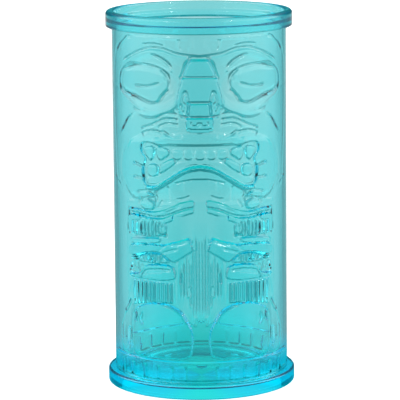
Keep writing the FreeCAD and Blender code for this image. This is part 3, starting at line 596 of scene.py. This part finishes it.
# what each surface lets through by height in m: red, green, blue; a painted tint, deeper where long light paths through
# thick plastic give the deep colour
PAINTED_DEPTH_TINT = ([(0.0, 0.38), (0.006, 0.24), (0.016, 0.30), (0.023, 0.56), (0.043, 0.54), (0.052, 0.63), (0.068, 0.84),
         (0.083, 0.91), (0.094, 0.93), (0.102, 0.89), (0.110, 0.995)],
        [(0.0, 0.995), (0.006, 0.97), (0.016, 0.965), (0.026, 0.95), (0.043, 0.955), (0.052, 0.931), (0.068, 0.967), (0.136, 0.967),
         (0.142, 0.995)],
        [(0.0, 1.0), (0.006, 0.995), (0.012, 0.96), (0.043, 0.96), (0.052, 0.936), (0.068, 0.967), (0.136, 0.967),
         (0.142, 1.0)])


def plastic(name):
    mat = bpy.data.materials.new(name)
    mat.use_nodes = True
    nt = mat.node_tree
    nt.nodes.clear()
    out = nt.nodes.new("ShaderNodeOutputMaterial")
    bs = nt.nodes.new("ShaderNodeBsdfPrincipled")
    # painted shade in the base colour: the tint deepens down the figure and in the foot, and stays paler at the plain
    # sides and down the middle, standing in for the deeper colour of long light paths through thick plastic
    k = Nodes(nt)
    spot = k.new("ShaderNodeSeparateXYZ")
    across = k.step(k.math("ABSOLUTE", spot.outputs[0]), 0.024, 0.033, 1.0, 0.0)
    strip = k.math("MULTIPLY", k.step(k.math("ABSOLUTE", spot.outputs[0]), 0.004, 0.011, 0.5, 0.0),
                   k.math("MULTIPLY", k.step(spot.outputs[2], 0.016, 0.026), k.step(spot.outputs[2], 0.072, 0.080, 1.0, 0.0)))
    across = k.math("MULTIPLY", across, k.math("SUBTRACT", 1.0, strip))
    across = k.math("MAXIMUM", across, k.step(spot.outputs[2], 0.005, 0.009, 1.0, 0.0))
    tint = k.new("ShaderNodeCombineColor")
    for i, points in enumerate(PAINTED_DEPTH_TINT):
        less = k.math("MULTIPLY", across, k.math("SUBTRACT", 1.0, k.curve(spot.outputs[2], points)))
        nt.links.new(k.math("SUBTRACT", 1.0, less), tint.inputs[i])
    nt.links.new(tint.outputs[0], bs.inputs["Base Color"])
    bs.inputs["IOR"].default_value = 1.53
    bs.inputs["Transmission Weight"].default_value = 1.0
    ab = nt.nodes.new("ShaderNodeVolumeAbsorption")
    # what 1 m lets through: exp(-density * (1 - colour))
    sig = np.array([370.0, 21.0, 9.0])
    dens = sig.max() / 0.999
    ab.inputs["Density"].default_value = float(dens)
    ab.inputs["Color"].default_value = (*[float(1 - s / dens) for s in sig], 1.0)
    # moulded surface: long soft ripples from the flow of the plastic, a fine pebble, light scuffs
    tc = nt.nodes.new("ShaderNodeTexCoord")
    mp = nt.nodes.new("ShaderNodeMapping")
    mp.inputs["Scale"].default_value = (160, 160, 45)
    flow = nt.nodes.new("ShaderNodeTexNoise")
    flow.inputs["Scale"].default_value = 1.0
    flow.inputs["Detail"].default_value = 2.0
    fine = nt.nodes.new("ShaderNodeTexNoise")
    fine.inputs["Scale"].default_value = 1500.0
    fine.inputs["Detail"].default_value = 3.0
    scuff = nt.nodes.new("ShaderNodeTexNoise")
    scuff.inputs["Scale"].default_value = 90.0
    scuff.inputs["Detail"].default_value = 4.0
    rr = nt.nodes.new("ShaderNodeMapRange")
    rr.inputs["From Min"].default_value = 0.35
    rr.inputs["From Max"].default_value = 0.75
    rr.inputs["To Min"].default_value = 0.015
    rr.inputs["To Max"].default_value = 0.06
    b1 = nt.nodes.new("ShaderNodeBump")
    b1.inputs["Strength"].default_value = 0.25
    b1.inputs["Distance"].default_value = 0.0001
    b2 = nt.nodes.new("ShaderNodeBump")
    b2.inputs["Strength"].default_value = 0.05
    b2.inputs["Distance"].default_value = 0.00002
    ln = nt.links.new
    ln(tc.outputs["Object"], spot.inputs[0])
    ln(tc.outputs["Object"], mp.inputs["Vector"])
    ln(mp.outputs[0], flow.inputs["Vector"])
    ln(tc.outputs["Object"], fine.inputs["Vector"])
    ln(tc.outputs["Object"], scuff.inputs["Vector"])
    ln(flow.outputs[0], b1.inputs["Height"])
    ln(fine.outputs[0], b2.inputs["Height"])
    ln(b1.outputs[0], b2.inputs["Normal"])
    ln(b2.outputs[0], bs.inputs["Normal"])
    ln(scuff.outputs[0], rr.inputs["Value"])
    ln(rr.outputs[0], bs.inputs["Roughness"])
    ln(bs.outputs[0], out.inputs["Surface"])
    ln(ab.outputs[0], out.inputs["Volume"])
    return mat


mat = plastic("turquoise_clear_plastic")
for ob in (wall, rim, foot, floor_piece):
    ob.data.materials.append(mat)

# ---------------------------------------------------------------------------- floor and light
# strength of the surround by bearing: the table's painted light, an emission seen only in reflections and refractions,
# and the tent walls above it
TABLE_PAINTED_LIGHT = [(0, 0.715), (10, 0.745), (16, 0.71), (28, 0.41), (50, 0.44), (70, 0.90), (85, 1.10), (115, 1.15),
               (138, 0.70), (160, 0.46), (180, 0.46)]
WALL_CURVE = [(0, 0.27), (20, 0.27), (38, 0.32), (52, 0.75), (72, 2.5), (100, 2.4), (122, 1.95), (144, 1.95),
              (155, 1.10), (168, 0.44), (180, 0.40)]
# the painted light's colour on the table far out: a little azure off to both sides of the middle
FAR_PAINTED_TINT = ([(0, 1.0), (17, 1.0), (30, 0.70), (62, 0.74), (90, 1.0)],
            [(0, 1.0), (17, 1.0), (30, 0.98), (62, 0.97), (90, 1.0)],
            [(0, 1.0), (17, 1.0), (30, 1.02), (62, 1.08), (90, 1.0)])
# painted coloured shadow: the table close round the tumbler, coloured as if lit through the plastic, by bearing
NEAR_PAINTED_SHADOW_TINT = ([(0, 0.02), (112, 0.02), (140, 0.38), (180, 0.42)],
             [(0, 1.0), (20, 0.98), (45, 0.84), (68, 0.85), (84, 1.15), (102, 1.15), (122, 0.88), (140, 0.88), (180, 1.0)],
             [(0, 0.90), (20, 0.92), (45, 1.12), (68, 1.12), (84, 1.55), (102, 1.55), (122, 1.08), (140, 1.06),
              (180, 0.92)])


def bearing(k, x, y):
    """Degrees round from straight behind the cup, 0 to 180, the same both ways."""
    return k.math("MULTIPLY", k.math("ARCTAN2", k.math("ABSOLUTE", x), y), 180 / math.pi)


fm = bpy.data.materials.new("table_white_painted_glow")
fm.use_nodes = True
nt = fm.node_tree
nt.nodes.clear()
k = Nodes(nt)
out = k.new("ShaderNodeOutputMaterial")
tc = k.new("ShaderNodeTexCoord")
xyz = k.new("ShaderNodeSeparateXYZ")
nt.links.new(tc.outputs["Object"], xyz.inputs[0])
x, y = xyz.outputs[0], xyz.outputs[1]
r = k.math("SQRT", k.math("ADD", k.math("MULTIPLY", x, x), k.math("MULTIPLY", y, y)))
painted_glow = k.curve(bearing(k, x, y), TABLE_PAINTED_LIGHT)
# painted light under the tumbler and painted shade just round it
under = k.step(r, 0.030, 0.044, 0.86, 0.57)                    # the table under the tumbler and just round it
ring = k.step(r, 0.062, 0.110)
painted_glow = k.math("ADD", k.math("MULTIPLY", painted_glow, ring), k.math("MULTIPLY", k.math("SUBTRACT", 1.0, ring), under))
# close by, painted coloured shadow: the table's emission takes the colour of the plastic, standing in for light that
# reaches it through the plastic
out_there = k.step(r, 0.058, 0.115)
painted_tone = k.new("ShaderNodeCombineColor")
for i in range(3):
    far_part = k.math("MULTIPLY", k.curve(bearing(k, x, y), FAR_PAINTED_TINT[i]), out_there)
    near_part = k.math("MULTIPLY", k.curve(bearing(k, x, y), NEAR_PAINTED_SHADOW_TINT[i]), k.math("SUBTRACT", 1.0, out_there))
    nt.links.new(k.math("ADD", far_part, near_part), painted_tone.inputs[i])
em = k.new("ShaderNodeEmission")
nt.links.new(painted_glow, em.inputs["Strength"])
nt.links.new(painted_tone.outputs[0], em.inputs["Color"])
bs = k.new("ShaderNodeBsdfPrincipled")
bs.inputs["Base Color"].default_value = (0.86, 0.86, 0.86, 1)
bs.inputs["Roughness"].default_value = 0.9
bs.inputs["Specular IOR Level"].default_value = 0.1
bs.inputs["Emission Color"].default_value = (1, 1, 1, 1)
bs.inputs["Emission Strength"].default_value = 0.85
# the camera sees the plain pale floor; all other rays see only the painted emission
lp = k.new("ShaderNodeLightPath")
mix = k.new("ShaderNodeMixShader")
nt.links.new(lp.outputs["Is Camera Ray"], mix.inputs[0])
nt.links.new(em.outputs[0], mix.inputs[1])
nt.links.new(bs.outputs[0], mix.inputs[2])
nt.links.new(mix.outputs[0], out.inputs["Surface"])
table = bpy.data.meshes.new("table")
S = 9.0
table.from_pydata([(-S, -S, 0), (S, -S, 0), (S, S, 0), (-S, S, 0)], [], [(0, 1, 2, 3)])
table_ob = bpy.data.objects.new("table", table)
table_ob.location = (0, 0, -0.00002)
bpy.context.scene.collection.objects.link(table_ob)
table.materials.append(fm)

world = bpy.data.worlds.new("tent")
bpy.context.scene.world = world
world.use_nodes = True
nt = world.node_tree
nt.nodes.clear()
k = Nodes(nt)
wo = k.new("ShaderNodeOutputWorld")
bg = k.new("ShaderNodeBackground")
tc = k.new("ShaderNodeTexCoord")
xyz = k.new("ShaderNodeSeparateXYZ")
nt.links.new(tc.outputs["Generated"], xyz.inputs[0])
x, y, z = xyz.outputs
side_light = k.curve(bearing(k, x, y), WALL_CURVE)
above = k.step(z, 0.45, 0.80)
light = k.math("ADD", k.math("MULTIPLY", side_light, k.math("SUBTRACT", 1.0, above)), k.math("MULTIPLY", above, 0.55))
lp = k.new("ShaderNodeLightPath")
seen = k.math("MAXIMUM", k.math("MULTIPLY", lp.outputs["Is Camera Ray"], 1.0), light)
nt.links.new(seen, bg.inputs["Strength"])
# painted colour: low behind the tumbler the tent is tinted to the colour of the plastic, seen only in reflections and
# refractions
low = k.math("MULTIPLY", k.step(z, 0.26, 0.50, 1.0, 0.0), k.step(bearing(k, x, y), 45, 75, 1.0, 0.0))
low = k.math("MULTIPLY", low, k.math("SUBTRACT", 1.0, lp.outputs["Is Camera Ray"]))
painted_tone = k.new("ShaderNodeCombineColor")
for i, depth in enumerate((0.86, 0.03, 0.0)):
    nt.links.new(k.math("SUBTRACT", 1.0, k.math("MULTIPLY", low, depth)), painted_tone.inputs[i])
nt.links.new(painted_tone.outputs[0], bg.inputs["Color"])
nt.links.new(bg.outputs[0], wo.inputs["Surface"])

# two upright soft boxes in front, left and right of the camera: seen only as glints on the plastic
for side, power, height in ((-1, 0.3, 0.50), (1, 0.8, 0.58)):
    box = bpy.data.lights.new("soft_box", "AREA")
    box.shape = "RECTANGLE"
    box.size, box.size_y = 0.09, 0.24
    box.energy = power
    ob = bpy.data.objects.new("soft_box", box)
    at = Vector((0.62 * side, -0.72, height))
    ob.location = at
    ob.rotation_euler = (Vector((0, 0, 0.08)) - at).to_track_quat("-Z", "Y").to_euler()
    ob.visible_camera = False
    ob.visible_transmission = False
    bpy.context.scene.collection.objects.link(ob)

# ---------------------------------------------------------------------------- camera
D, ZC, AL, ROLL, F_PX = 1023.2, 256.4, 0.17610, math.radians(-0.48), 2548.7
fwd = Vector((0, math.cos(AL), -math.sin(AL)))
up0 = Vector((0, math.sin(AL), math.cos(AL)))
rt0 = Vector((1, 0, 0))
c, s = math.cos(ROLL), math.sin(ROLL)
rt = rt0 * c + up0 * s
up = -rt0 * s + up0 * c
cam_data = bpy.data.cameras.new("camera")
cam = bpy.data.objects.new("camera", cam_data)
bpy.context.scene.collection.objects.link(cam)
m = Matrix((rt, up, -fwd)).transposed().to_4x4()
m.translation = Vector((0, -D, ZC)) * MM
cam.matrix_world = m
cam_data.sensor_width = 36.0
cam_data.sensor_fit = "HORIZONTAL"
cam_data.lens = F_PX / 400.0 * 36.0
cam_data.shift_x = -(200.24 - 200.0) / 400.0
cam_data.clip_end = 50.0
bpy.context.scene.camera = cam

sc = bpy.context.scene
sc.view_settings.view_transform = "Standard"
sc.view_settings.look = "None"
sc.cycles.max_bounces = 32
sc.cycles.transmission_bounces = 32
sc.cycles.glossy_bounces = 16
sc.cycles.diffuse_bounces = 4
sc.cycles.transparent_max_bounces = 16
